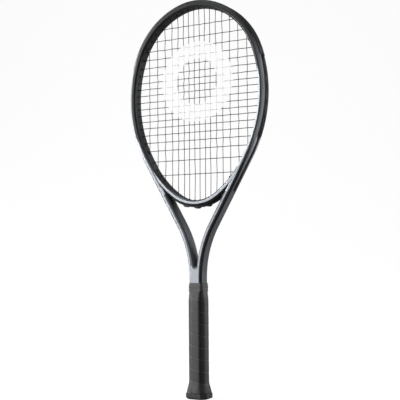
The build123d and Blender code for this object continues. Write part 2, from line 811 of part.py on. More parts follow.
# ---- build -----------------------------------------------------------------------
def build():
    """Every piece of the racket, by node name."""
    hairpin = hairpin_body() - tenon_trim()
    groove = arch(frame_rail, strip_floor, half_width + 2, 0, strip_travel + strip_gap, groove_width)
    frame = hairpin - frame_voids() - groove - frame_holes()

    bridge = bridge_body(hairpin)
    start = bridge_free_start()
    rim = bridge_width / 2
    void = arch(bridge_rail, bridge_wall - rim, rim - groove_depth - bridge_wall, start,
                bridge_length, tube_depth - 2 * bridge_wall)
    channel = arch(bridge_rail, rim - groove_depth, rim + 2, 0, bridge_length, groove_width)
    radius = barrel_radius + barrel_clearance
    beside = [g for g in side_grommets if g["in"][2] < place(bridge_rail, 0, 0)[0][1] + tube_width]
    drilled = [barrel(g, radius, 1, 3) for g in bridge_grommets + beside]
    bridge = bridge - void - channel - drilled - [mirrored(d) for d in drilled]

    strip = side_strip()
    staples = cap_staples()
    tack = wrap_tack()
    core = pallet_core()
    front, back = pallets(core, staples)
    wrap = grip_wrap(tack)
    tape = finishing_tape()
    foam_left, foam_right = leg_plug(foam_bottom, foam_top)
    slugs = leg_plug(weight_bottom, weight_bottom + weight_height)
    main_knot = knot(main_feet[5], -1)
    cross_knot = knot(cross_ends[2], 1)
    low_cross_knot = knot(cross_ends[-3], 1)

    return {
        "frame_tube": frame,
        "throat_bridge": bridge,
        "bumper_guard": bumper_guard(),
        "grommet_strip_right": strip,
        "grommet_strip_left": mirrored(strip),
        "throat_grommet_strip": throat_strip(),
        "main_strings": main_strings(),
        "cross_strings": cross_strings(),
        "main_string_knots": Compound([main_knot, mirrored(main_knot)]),
        "cross_string_knots": Compound([cross_knot, low_cross_knot]),
        "handle_pallet_front": front,
        "handle_pallet_back": back,
        "foam_core_left": foam_right,
        "foam_core_right": foam_left,
        "balance_slugs": Compound(list(slugs)),
        "butt_cap": butt_cap(core, staples + [tack]),
        "butt_door": butt_door(),
        "cap_staples": Compound(staples),
        "grip_wrap": wrap,
        "wrap_tack": tack,
        "finishing_tape": tape,
        "grip_collar": grip_collar(wrap + tape),
    }


os.makedirs("parts", exist_ok=True)
for name, shape in build().items():
    export_step(shape, f"parts/{name}.step")
    print(name, len(shape.solids()), round(shape.volume, 1))
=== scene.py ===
# %% [markdown]
# # A tennis racket, dressed over its design model
# The design model already holds every hard piece at its true size: the hollow frame, the
# throat bridge, the string guards, the moulded handle and the butt cap. This lesson adds what
# a drawing leaves out: woven strings, a wound grip, paint, moulded plastic and studio light.
# Everything is in metres. The racket stands on its butt, +Z runs to the tip, -Y is its front.

# %% Load the design model
import bpy
import numpy as np
from math import cos, pi, radians, sin
from mathutils import Matrix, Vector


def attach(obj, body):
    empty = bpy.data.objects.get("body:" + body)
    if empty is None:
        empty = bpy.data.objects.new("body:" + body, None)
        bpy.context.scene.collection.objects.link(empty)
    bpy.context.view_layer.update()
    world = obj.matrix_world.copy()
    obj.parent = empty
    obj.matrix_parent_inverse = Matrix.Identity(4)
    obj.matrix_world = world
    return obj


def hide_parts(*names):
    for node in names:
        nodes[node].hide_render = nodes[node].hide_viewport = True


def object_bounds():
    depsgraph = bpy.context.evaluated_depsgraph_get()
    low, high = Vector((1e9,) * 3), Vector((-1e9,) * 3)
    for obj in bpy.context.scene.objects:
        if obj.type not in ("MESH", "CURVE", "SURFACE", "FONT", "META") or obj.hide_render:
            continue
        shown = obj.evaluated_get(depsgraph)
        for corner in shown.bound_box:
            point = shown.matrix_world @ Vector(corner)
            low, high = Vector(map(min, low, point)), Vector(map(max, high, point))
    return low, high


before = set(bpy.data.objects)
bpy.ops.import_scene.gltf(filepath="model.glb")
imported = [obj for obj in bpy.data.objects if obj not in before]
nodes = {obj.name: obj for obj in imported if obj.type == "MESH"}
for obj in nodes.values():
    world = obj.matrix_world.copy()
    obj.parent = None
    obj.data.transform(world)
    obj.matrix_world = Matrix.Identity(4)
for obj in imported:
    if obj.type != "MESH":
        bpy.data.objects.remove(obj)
cad_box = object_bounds()
MM = 0.001
print("design box", [tuple(round(c, 4) for c in corner) for corner in cad_box])

# %% [markdown]
# ## A surface from a grid of points
# Most new pieces here are sheets of points: rows across, columns along. Blender wants a list
# of corners and a list of faces, and both can be worked out as whole arrays, which is much
# faster than adding corners one by one. A tube is such a grid closed round one way.

# %% Grid surfaces


def grid_faces(rows, cols, offset=0, round_cols=True):
    """Corner numbers of the quads of a grid: (row, col), next col, next row and col, next row."""
    r = np.arange(rows - 1)[:, None]
    c = np.arange(cols if round_cols else cols - 1)[None, :]
    nxt = (c + 1) % cols
    quads = np.stack([r * cols + c, r * cols + nxt, (r + 1) * cols + nxt, (r + 1) * cols + c], -1)
    return quads.reshape(-1, 4) + offset


def make_piece(name, points, faces, body="racket", smooth=True):
    """A mesh object from arrays of points and of quads or longer faces."""
    mesh = bpy.data.meshes.new(name)
    mesh.from_pydata(np.asarray(points).tolist(), [], [list(f) for f in faces])
    mesh.update()
    mesh.polygons.foreach_set("use_smooth", np.full(len(mesh.polygons), smooth))
    piece = bpy.data.objects.new(name, mesh)
    bpy.context.scene.collection.objects.link(piece)
    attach(piece, body)
    print(name, len(mesh.polygons), "faces")
    return piece


def tube_rings(path, radius, sides):
    """Rings round a path: point + radius * (cos a * side + sin a * up).
    The side vector is the path's direction turned against a steady up vector."""
    ahead = np.gradient(path, axis=0)
    ahead /= np.linalg.norm(ahead, axis=1)[:, None]
    up = np.tile([0.0, 1.0, 0.0], (len(path), 1))
    side = np.cross(up, ahead)
    side /= np.linalg.norm(side, axis=1)[:, None]
    up = np.cross(ahead, side)
    angle = np.linspace(0, 2 * pi, sides, endpoint=False)
    ring = np.cos(angle)[None, :, None] * side[:, None] + np.sin(angle)[None, :, None] * up[:, None]
    return path[:, None] + radius * ring


def tubes_piece(name, paths, radius, sides=8):
    """Many closed tubes in one mesh, each with a flat cap at both ends."""
    points, faces, count = [], [], 0
    for path in paths:
        rings = tube_rings(path, radius, sides)
        quads = grid_faces(len(path), sides, count)
        points.append(rings.reshape(-1, 3))
        faces += quads.tolist()
        faces.append(list(range(count + sides - 1, count - 1, -1)))
        last = count + (len(path) - 1) * sides
        faces.append(list(range(last, last + sides)))
        count += len(path) * sides
    return make_piece(name, np.concatenate(points), faces)


# %% [markdown]
# ## The line that the frame follows
# The hoop of a racket is drawn with a few arcs that meet smoothly, then a straight throat arm
# and an arc that turns it into the shaft. Strings, guards and paint all follow this line, so
# it comes first: a function that gives the point at any distance from the tip and at any
# offset outwards.

# %% Frame line
TUBE = 11.0 * MM
DEEP = 23.0 * MM
BUMPER = 1.2 * MM
TIP_Z = cad_box[1][2] - BUMPER - TUBE / 2
HOOP_ARCS = [(101.4 * MM, 16.8), (130.4 * MM, 53.6), (219.0 * MM, 49.6)]
BRIDGE_ARCS = [(175.0 * MM, 25.0), (72.0 * MM, 35.0)]
NECK_R = 182.0 * MM
LEG_X = 6.65 * MM
LEAN = 30.0


def outward(heading):
    """Outward normal for headings in degrees, turned clockwise from +X: (sin, cos)."""
    a = np.radians(heading)
    return np.stack([np.sin(a), np.cos(a)], -1)


def walk(start, heading, arcs, step=0.5 * MM):
    """Points and headings along tangent arcs: centre + radius * outward(heading)."""
    points, headings, centres = [], [], []
    for radius, turn in arcs:
        side = np.sign(turn)
        centre = np.asarray(start) - side * radius * outward(heading)
        steps = max(int(radius * abs(radians(turn)) / step), 4)
        h = heading + np.linspace(0, turn, steps)
        points.append(centre + side * radius * outward(h))
        headings.append(h)
        centres.append(centre)
        start, heading = points[-1][-1], h[-1]
    return np.concatenate(points), np.concatenate(headings), centres


hoop_xz, hoop_h, hoop_centres = walk((0, TIP_Z), 0, HOOP_ARCS)
arm_start = hoop_xz[-1]
arm_way = np.array([-sin(radians(LEAN)), -cos(radians(LEAN))])
arm_length = (arm_start[0] - NECK_R * (1 - cos(radians(LEAN))) - LEG_X) / sin(radians(LEAN))
neck_start = arm_start + arm_length * arm_way
neck_centre = neck_start + NECK_R * outward(90 + LEAN)
steps = np.linspace(0, arm_length, 300)[1:, None]
line_xz = np.concatenate([hoop_xz, arm_start + steps * arm_way])
line_h = np.concatenate([hoop_h, np.full(len(steps), 90 + LEAN)])
print("arm starts", arm_start.round(4), "neck starts", neck_start.round(4))

bridge_reach = 0.0
bridge_heading = 90 + LEAN
for radius, turn in BRIDGE_ARCS:
    bridge_reach += radius * (sin(radians(bridge_heading)) - sin(radians(bridge_heading + turn)))
    bridge_heading += turn
bridge_start = arm_start + arm_way * (arm_start[0] - bridge_reach) / sin(radians(LEAN))
bridge_xz, bridge_h, bridge_centres = walk(bridge_start, 90 + LEAN, BRIDGE_ARCS)

# %% [markdown]
# ## Where each string enters the frame
# A string runs straight across the hoop, bends at the mouth of its grommet, crosses the tube
# and comes out in the groove, where it lies along the frame to the next hole. The places are
# read off the offset line by interpolation, which is how a table of numbers is turned round.

# %% String ends
STRING_R = 0.65 * MM
MAIN_X = np.array([5.0, 15.8, 26.2, 37.8, 50.1, 64.4, 80.1, 97.0]) * MM
CROSS_Z = np.array([644.4, 624.2, 607.3, 592.3, 577.9, 564.2, 551.6, 540.1, 528.5, 516.1,
                    504.4, 492.8, 481.3, 469.5, 456.5, 442.8, 427.9, 408.7, 383.7]) * MM
BRIDGE_MAINS = 5
MOUTH = -(TUBE / 2 + 2.0 * MM)
BRIDGE_MOUTH = -7.0 * MM
LANE = TUBE / 2 - 1.6 * MM + 0.8 * MM + STRING_R + 0.1 * MM
BRIDGE_LANE = LANE - 0.5 * MM
travel = np.concatenate([[0], np.cumsum(np.linalg.norm(np.diff(line_xz, axis=0), axis=1))])
bridge_travel = np.concatenate([[0], np.cumsum(np.linalg.norm(np.diff(bridge_xz, axis=0), axis=1))])
widest = int(np.argmax(line_xz[:, 0]))


def offset_line(xz, h, off):
    """The line moved outwards: point + offset * normal."""
    return xz + off * outward(h)


def hoop_end(axis, value, lo=0, hi=None):
    """Travel, mouth and exit of a grommet on the hoop, for an X (axis 0) or a Z (axis 1)."""
    inner = offset_line(line_xz, line_h, MOUTH)[lo:hi]
    outer = offset_line(line_xz, line_h, LANE)[lo:hi]
    key = inner[:, axis]
    way = 1 if key[-1] > key[0] else -1
    t = np.interp(value * way, key * way, travel[lo:hi])
    at = [np.interp(t, travel[lo:hi], part) for part in (*inner.T, *outer.T)]
    return t, np.array(at[:2]), np.array(at[2:])


def bridge_end(x):
    """Travel, mouth and exit of a grommet in the bridge, along the string."""
    inner = offset_line(bridge_xz, bridge_h, BRIDGE_MOUTH)[::-1]
    outer = offset_line(bridge_xz, bridge_h, BRIDGE_LANE)[::-1]
    mouth_z = np.interp(x, inner[:, 0], inner[:, 1])
    exit_z = np.interp(x, outer[:, 0], outer[:, 1])
    t = np.interp(x, outer[:, 0], bridge_travel[::-1])
    return t, np.array([x, mouth_z]), np.array([x, exit_z])


def arm_end(x):
    """Travel, mouth and exit of an outer main: in at the oval, out square to the arm."""
    oval = offset_line(bridge_xz, bridge_h, BRIDGE_MOUTH)[::-1]
    if x < oval[-1, 0]:
        mouth = np.array([x, np.interp(x, oval[:, 0], oval[:, 1])])
    else:
        mouth = hoop_end(0, x, widest)[1]
    normal = outward(90 + LEAN)
    across = (mouth - arm_start) @ normal
    exit_point = mouth + (LANE - across) * normal
    hoop_travel = travel[len(hoop_xz) - 1]
    return hoop_travel + (mouth - arm_start) @ arm_way, mouth, exit_point


main_tops = [hoop_end(0, x, 0, widest) for x in MAIN_X]
main_feet = [bridge_end(x) for x in MAIN_X[:BRIDGE_MAINS]] + [arm_end(x) for x in MAIN_X[BRIDGE_MAINS:]]
cross_ends = [hoop_end(1, z) for z in CROSS_Z]
print("mains", len(main_tops) * 2, "crosses", len(cross_ends))

# %% [markdown]
# ## Weaving
# A woven bed is over and under by turns. At each crossing the main stands on one side of the
# middle plane and the cross on the other, and the side changes from one crossing to the next.
# Interpolating between those heights with a smooth step gives the gentle wave of a real
# string. Mains are pulled tighter than crosses, so they wave less, and play has pushed them
# a little sideways, by a random amount at each crossing.

# %% Woven strings
MAIN_WAVE = 0.42 * MM
CROSS_WAVE = 0.92 * MM
rng = np.random.default_rng(7)
all_x = np.concatenate([-MAIN_X[::-1], MAIN_X])


def smooth_between(value, stops, heights):
    """Height at value, eased between stops: low + (high - low) * (3 s^2 - 2 s^3)."""
    i = np.clip(np.searchsorted(stops, value) - 1, 0, len(stops) - 2)
    s = np.clip((value - stops[i]) / (stops[i + 1] - stops[i]), 0, 1)
    return heights[i] + (heights[i + 1] - heights[i]) * s * s * (3 - 2 * s)


def spaced(start, end, step):
    """Points from start to end of a straight run."""
    count = max(int(np.linalg.norm(end - start) / step), 2)
    return start + np.linspace(0, 1, count)[:, None] * (end - start)


def with_y(xz, y):
    """Points of the face plane, given a height out of it."""
    return np.stack([xz[:, 0], np.broadcast_to(y, len(xz)), xz[:, 1]], -1)


def path_length(paths):
    """Sum of the distances between neighbouring points, over every path."""
    return float(sum(np.linalg.norm(np.diff(path, axis=0), axis=1).sum() for path in paths))


def main_path(column):
    """One upright string: exit, grommet, woven length, grommet, exit."""
    x = all_x[column]
    mirror = np.array([np.sign(x), 1.0])
    k = int(np.argmin(abs(MAIN_X - abs(x))))
    foot, top = (main_feet[k][2] * mirror, main_feet[k][1] * mirror), (main_tops[k][1] * mirror,
                                                                      main_tops[k][2] * mirror)
    run = spaced(foot[1], top[0], 1.6 * MM)
    stops = np.concatenate([[foot[1][1]], CROSS_Z[::-1], [top[0][1]]])
    rows = np.arange(len(CROSS_Z))
    sides = np.where((rows + column) % 2 == 0, -1.0, 1.0)[::-1] * MAIN_WAVE
    y = smooth_between(run[:, 1], stops, np.concatenate([[-0.7 * MM], sides, [-0.7 * MM]]))
    drift = rng.normal(0, 0.32 * MM, len(stops))
    drift[[0, -1]] = 0
    run = run + np.stack([smooth_between(run[:, 1], stops, drift), np.zeros(len(run))], -1)
    ends = [with_y(spaced(a, b, 3 * MM), -0.7 * MM) for a, b in (foot, top)]
    return np.concatenate([ends[0][:-1], with_y(run, y), ends[1][1:]])


def cross_path(row):
    """One level string, woven the other way from the mains that it meets."""
    mouth, exit_point = cross_ends[row][1:]
    left = np.array([-1.0, 1.0])
    run = spaced(mouth * left, mouth, 1.6 * MM)
    columns = np.arange(len(all_x))
    inside = abs(all_x) < mouth[0] - 2 * MM
    sides = (np.where((row + columns) % 2 == 0, 1.0, -1.0) * CROSS_WAVE)[inside]
    stops = np.concatenate([[-mouth[0]], all_x[inside], [mouth[0]]])
    y = smooth_between(run[:, 0], stops, np.concatenate([[0.7 * MM], sides, [0.7 * MM]]))
    ends = [with_y(spaced(a, b, 3 * MM), 0.7 * MM)
            for a, b in ((exit_point * left, mouth * left), (mouth, exit_point))]
    return np.concatenate([ends[0][:-1], with_y(run, y), ends[1][1:]])


def loop_path(xz, h, along, lane, first, last, y, left=False):
    """String laid in the groove between two exits."""
    t = np.linspace(min(first, last), max(first, last), 14)
    lane_xz = offset_line(xz, h, lane)
    points = np.stack([np.interp(t, along, part) for part in lane_xz.T], -1)
    return with_y(points * ([-1, 1] if left else [1, 1]), y)


def main_loops(left):
    """Loops of the mains on one side: pairs at the tip, then pairs at the throat."""
    hoop = (line_xz, line_h, travel, LANE)
    below = (bridge_xz, bridge_h, bridge_travel, BRIDGE_LANE)
    loops = [loop_path(*hoop, main_tops[i][0], main_tops[i + 1][0], -0.7 * MM, left)
             for i in range(0, 8, 2)]
    loops += [loop_path(*below, main_feet[i][0], main_feet[i + 1][0], -0.7 * MM, left)
              for i in (1, 3)]
    loops.append(loop_path(*hoop, main_feet[5][0], main_feet[6][0], -0.7 * MM, left))
    loops.append(loop_path(*below, main_feet[0][0], bridge_travel[-1], -0.7 * MM, left))
    return loops


main_paths = [main_path(c) for c in range(len(all_x))] + main_loops(False) + main_loops(True)
mains = tubes_piece("woven_mains", main_paths, STRING_R)
print("length of the mains", round(path_length(main_paths), 3), "m")
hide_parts("main_strings")

cross_paths = [cross_path(r) for r in range(len(CROSS_Z))]
cross_paths += [loop_path(line_xz, line_h, travel, LANE, cross_ends[i][0], cross_ends[i + 1][0],
                          0.7 * MM, left=i % 2 == 0) for i in range(len(CROSS_Z) - 1)]
crosses = tubes_piece("woven_crosses", cross_paths, STRING_R)
print("length of the crosses", round(path_length(cross_paths), 3), "m")
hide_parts("cross_strings")

# %% [markdown]
# ## Tie-off knots
# Each end of string is tied off round its neighbour, just inside the frame. The knot is a
# small bundle of turns: here a coil whose turns cross, made as a tube along a knotted curve.

# %% Knots


def knot_path(centre):
    """A trefoil: (sin t + 2 sin 2t, cos t - 2 cos 2t, -sin 3t), scaled to the knot's size."""
    t = np.linspace(0, 2 * pi, 60, endpoint=False)
    shape = np.stack([np.sin(t) + 2 * np.sin(2 * t), -np.sin(3 * t), np.cos(t) - 2 * np.cos(2 * t)], -1)
    return centre + shape * 0.28 * MM


def node_islands(name):
    """Centres of the two solids of a design node: the mean of the points on each side of the middle, along
    X or Z.
    """
    mesh = nodes[name].data
    co = np.empty(len(mesh.vertices) * 3)
    mesh.vertices.foreach_get("co", co)
    co = co.reshape(-1, 3)
    along = 0 if np.ptp(co[:, 0]) > np.ptp(co[:, 2]) * 0.2 and name.startswith("main") else 2
    middle = (co[:, along].min() + co[:, along].max()) / 2
    return [co[co[:, along] < middle].mean(0), co[co[:, along] > middle].mean(0)]


for source in ("main_string_knots", "cross_string_knots"):
    coils = [knot_path(c) for c in node_islands(source)]
    tied = tubes_piece("tied_" + source, coils, 0.62 * MM, 10)
    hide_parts(source)

# %% [markdown]
# ## The wound grip
# The handle is an octagon with softened corners, covered by one cushioned strip wound in a
# spiral from the butt up. Each turn laps a little over the one before, which leaves a low
# slanting step. The shape is a function of the angle round the handle and the height: the
# octagon's reach in that direction, rounded by a smooth maximum of its sides, plus the step.

# %% Grip shape
GRIP_W, GRIP_D, GRIP_BEVEL = 33.0 * MM, 29.0 * MM, 7.4 * MM
TOP_W, TOP_D, TOP_BEVEL = 25.7 * MM, 24.4 * MM, 3.2 * MM
CAP_W, CAP_D = 41.0 * MM, 37.0 * MM
TAPER_Z, TOP_Z = 165.0 * MM, 190.0 * MM
FLARE_TOP, WIDEST_Z, WRAP_BOTTOM = 30.0 * MM, 5.0 * MM, 9.4 * MM
TURN = 20.0 * MM
FIRST_TURN = 4.0 * MM
LAP = 0.32 * MM


def smooth_octagon(angle, width, depth, bevel, soft=14.0):
    """Distance from the axis to a softened octagon: each side's distance over the cosine of
    the angle to it, joined by the power mean (sum of inverse distances ^ soft) ^ (-1 / soft)."""
    corner = (width / 2 + depth / 2 - bevel) / np.sqrt(2)
    total = 0
    for k, reach in enumerate([width / 2, corner, depth / 2, corner] * 2):
        facing = np.cos(angle - k * pi / 4)
        total = total + np.maximum(facing / reach, 0) ** soft
    return total ** (-1 / soft)


def handle_size(z):
    """Width, depth and bevel of the handle at a height: flare, plain length, then taper."""
    flare = np.sin(pi / 2 * np.clip((FLARE_TOP - z) / (FLARE_TOP - WIDEST_Z), 0, 1)) ** 1.7
    slim = np.clip((z - TAPER_Z) / (TOP_Z - TAPER_Z), 0, 1)
    slim = slim * slim * (3 - 2 * slim) * 0.35 + slim * 0.65
    width = GRIP_W + flare * (CAP_W - GRIP_W) + slim * (TOP_W - GRIP_W)
    depth = GRIP_D + flare * (CAP_D - GRIP_D) + slim * (TOP_D - GRIP_D)
    return width, depth, GRIP_BEVEL + flare * MM + slim * (TOP_BEVEL - GRIP_BEVEL)


def lap_step(angle, z):
    """Height of the strip over the handle: it climbs across each turn and drops at its edge."""
    phase = ((z - FIRST_TURN) / TURN + angle / (2 * pi)) % 1.0
    rise = np.clip(phase / 0.16, 0, 1)
    lip = np.exp(-((phase - 0.985) / 0.02) ** 2) * 0.25
    return -LAP * (1 - rise * rise * (3 - 2 * rise)) + LAP * 0.4 * lip


AROUND, ALONG = 176, 460
angle = np.linspace(0, 2 * pi, AROUND, endpoint=False)[None, :]
height = np.linspace(WRAP_BOTTOM, TOP_Z, ALONG)[:, None]
reach = smooth_octagon(angle, *handle_size(height)) + lap_step(angle, height)
rim = np.minimum(height - WRAP_BOTTOM, TOP_Z - height)
reach = reach - 0.5 * MM * np.exp(-rim / (0.5 * MM))
skin = np.stack([reach * np.cos(angle), reach * np.sin(angle), np.broadcast_to(height, reach.shape)], -1)
print("grip from", height.min().round(4), "to", height.max().round(4), "widest", (2 * reach.max()).round(4))

# %% [markdown]
# The skin needs an inside to be a closed solid: the same rings, moved in by the strip's
# thickness, run back down to the start, and the last ring is joined to the first.

# %% Grip piece
THICK = 1.0 * MM
back = np.linspace(ALONG - 1, 0, 40).astype(int)
inner = skin[back] - np.stack([np.cos(angle[0]), np.sin(angle[0]), 0 * angle[0]], -1) * THICK
rings = np.concatenate([skin, inner])
quads = grid_faces(len(rings), AROUND)
column = np.arange(AROUND)
after = (column + 1) % AROUND
last = (len(rings) - 1) * AROUND
closing = np.stack([last + column, last + after, after, column], -1)
grip = make_piece("wound_grip", rings.reshape(-1, 3), np.concatenate([quads, closing]))
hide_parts("grip_wrap")

# %% [markdown]
# ## Shader maths as plain expressions
# A node tree is a formula drawn as boxes. This small class lets the formula be written out:
# it holds one output of a tree, and +, -, * and the rest add a Math node and give back its
# output. The reflected forms let a plain number stand first, as in 1 - mask.

# %% Shader helpers


class Value:
    """One number over a surface, as the output of a node."""

    def __init__(self, tree, socket):
        self.tree, self.socket = tree, socket

    def maths(self, operation, *others, clamp=False):
        """A Math node with this value first."""
        node = self.tree.nodes.new("ShaderNodeMath")
        node.operation, node.use_clamp = operation, clamp
        for slot, value in enumerate((self,) + others):
            if isinstance(value, Value):
                self.tree.links.new(value.socket, node.inputs[slot])
            else:
                node.inputs[slot].default_value = value
        return Value(self.tree, node.outputs[0])

    def number(self, value):
        """A plain number as a value, for the reflected forms."""
        node = self.tree.nodes.new("ShaderNodeValue")
        node.outputs[0].default_value = value
        return Value(self.tree, node.outputs[0])

    def __add__(self, other):
        return self.maths("ADD", other)

    def __radd__(self, other):
        return self.maths("ADD", other)

    def __sub__(self, other):
        return self.maths("SUBTRACT", other)

    def __rsub__(self, other):
        return self.number(other).maths("SUBTRACT", self)

    def __mul__(self, other):
        return self.maths("MULTIPLY", other)

    def __rmul__(self, other):
        return self.maths("MULTIPLY", other)

    def __truediv__(self, other):
        return self.maths("DIVIDE", other)

    def __abs__(self):
        return self.maths("ABSOLUTE")

    def over(self, edge, soft=0.0001):
        """1 where the value is over an edge, 0 below, with a short ramp between."""
        return ((self - edge) / soft + 0.5).maths("MULTIPLY", 1.0, clamp=True)

    def between(self, low, high, soft=0.0001):
        """1 inside a band and 0 outside it."""
        return self.over(low, soft) * (1 - self.over(high, soft))

    def choose(self, mask, other):
        """This value where the mask is 0, the other where it is 1."""
        return self + (other - self) * mask


class Finish:
    """A material and its node tree, built on one Principled shader."""

    def __init__(self, name, **settings):
        self.material = bpy.data.materials.new(name)
        self.material.use_nodes = True
        self.tree = self.material.node_tree
        self.shader = self.tree.nodes["Principled BSDF"]
        for key, value in settings.items():
            self.shader.inputs[key.replace("_", " ")].default_value = value
        self.place = self.node("ShaderNodeTexCoord").outputs["Object"]
        split = self.node("ShaderNodeSeparateXYZ", {}, {0: self.place})
        self.x, self.y, self.z = (Value(self.tree, out) for out in split.outputs)

    def node(self, kind, settings=None, inputs=None):
        """A node of a kind: its settings first, then the values or links of its inputs."""
        made = self.tree.nodes.new(kind)
        for key, value in (settings or {}).items():
            setattr(made, key, value)
        for key, value in (inputs or {}).items():
            if isinstance(value, Value):
                value = value.socket
            if isinstance(value, bpy.types.NodeSocket):
                self.tree.links.new(value, made.inputs[key])
            else:
                made.inputs[key].default_value = value
        return made

    def noise(self, scale, detail=4.0, roughness=0.55, stretch=None):
        """Noise over the object's own coordinates, from 0 to 1, stretched if asked."""
        place = self.place
        if stretch:
            place = self.node("ShaderNodeMapping", {}, {0: place, "Scale": stretch}).outputs[0]
        made = self.node("ShaderNodeTexNoise", {}, {"Vector": place, "Scale": scale,
                                                    "Detail": detail, "Roughness": roughness})
        return Value(self.tree, made.outputs[0])

    def mix(self, mask, first, second):
        """Colour that is the first where the mask is 0 and the second where it is 1."""
        made = self.node("ShaderNodeMix", {"data_type": "RGBA"}, {0: mask, 6: first, 7: second})
        return made.outputs[2]

    def into(self, name, value):
        """Feed one input of the shader."""
        socket = value.socket if isinstance(value, Value) else value
        self.tree.links.new(socket, self.shader.inputs[name])

    def bump(self, height, distance, strength=1.0):
        """Small relief from a height between 0 and 1, as deep as the distance in metres."""
        made = self.node("ShaderNodeBump", {}, {"Height": height, "Strength": strength,
                                                "Distance": distance})
        self.into("Normal", made.outputs[0])


def grey(level, tint=(1.0, 1.0, 1.0)):
    """A near-neutral colour with full alpha."""
    return (level * tint[0], level * tint[1], level * tint[2], 1.0)


# %% [markdown]
# ## Frame paint
# The frame is painted in bands that run along the tube: silver on the front flat, black along
# the bevel, blue-grey down the outside, and near black inside the hoop. The bands are set by
# how far a point lies round the tube's section, so the paint needs the distance from the
# frame's own line. Each stretch gives its own formula for that distance, and masks choose
# between the stretches, just as the arcs follow each other.

# %% Offset from the frame line
BLUE = (0.94, 1.0, 1.1)


def root_of_squares(a, b):
    """Length of a vector from its two parts."""
    return (a * a + b * b).maths("SQRT")


def past(x, z, point, heading):
    """1 where a point has passed a place on the line, going along a heading."""
    a = radians(heading)
    return ((x - float(point[0])) * cos(a) - (z - float(point[1])) * sin(a)).over(0.0)


def frame_offset(paint):
    """How far outwards a point lies from the line of the hoop, arm and leg."""
    x, z = abs(paint.x), paint.z
    turned = 0.0
    offset = None
    for (radius, turn), centre in zip(HOOP_ARCS, hoop_centres):
        away = root_of_squares(x - float(centre[0]), z - float(centre[1])) - radius
        offset = away if offset is None else offset.choose(past(x, z, centre, turned), away)
        turned += turn
    nx, nz = outward(90 + LEAN)
    straight = (x - float(arm_start[0])) * float(nx) + (z - float(arm_start[1])) * float(nz)
    offset = offset.choose(past(x, z, arm_start, 90 + LEAN), straight)
    neck = NECK_R - root_of_squares(x - float(neck_centre[0]), z - float(neck_centre[1]))
    offset = offset.choose(past(x, z, neck_start, 90 + LEAN), neck)
    return offset.choose(1 - z.over(float(neck_centre[1])), x - LEG_X)


def bridge_offset(paint):
    """How far below the line of the bridge a point lies."""
    x, z = abs(paint.x), paint.z
    first, second = [root_of_squares(x - float(c[0]), z - float(c[1])) - r[0]
                     for c, r in zip(bridge_centres, BRIDGE_ARCS)]
    return first.choose(past(x, z, bridge_centres[1], 90 + LEAN + BRIDGE_ARCS[0][1]), second)


# %% [markdown]
# The paint itself: a satin base with fine metal flake, a clear coat, a dark weave showing
# faintly on the black inside walls, and bands whose edges drift along the frame.

# %% Paint bands
FLAT = 2.8 * MM
WALL = 8.2 * MM
CROTCH_R = 2.35 * MM
crotch_z = float(neck_centre[1] + np.sqrt((NECK_R + TUBE / 2 + CROTCH_R) ** 2 - neck_centre[0] ** 2))
print("round end of the throat is centred at", round(crotch_z, 4))


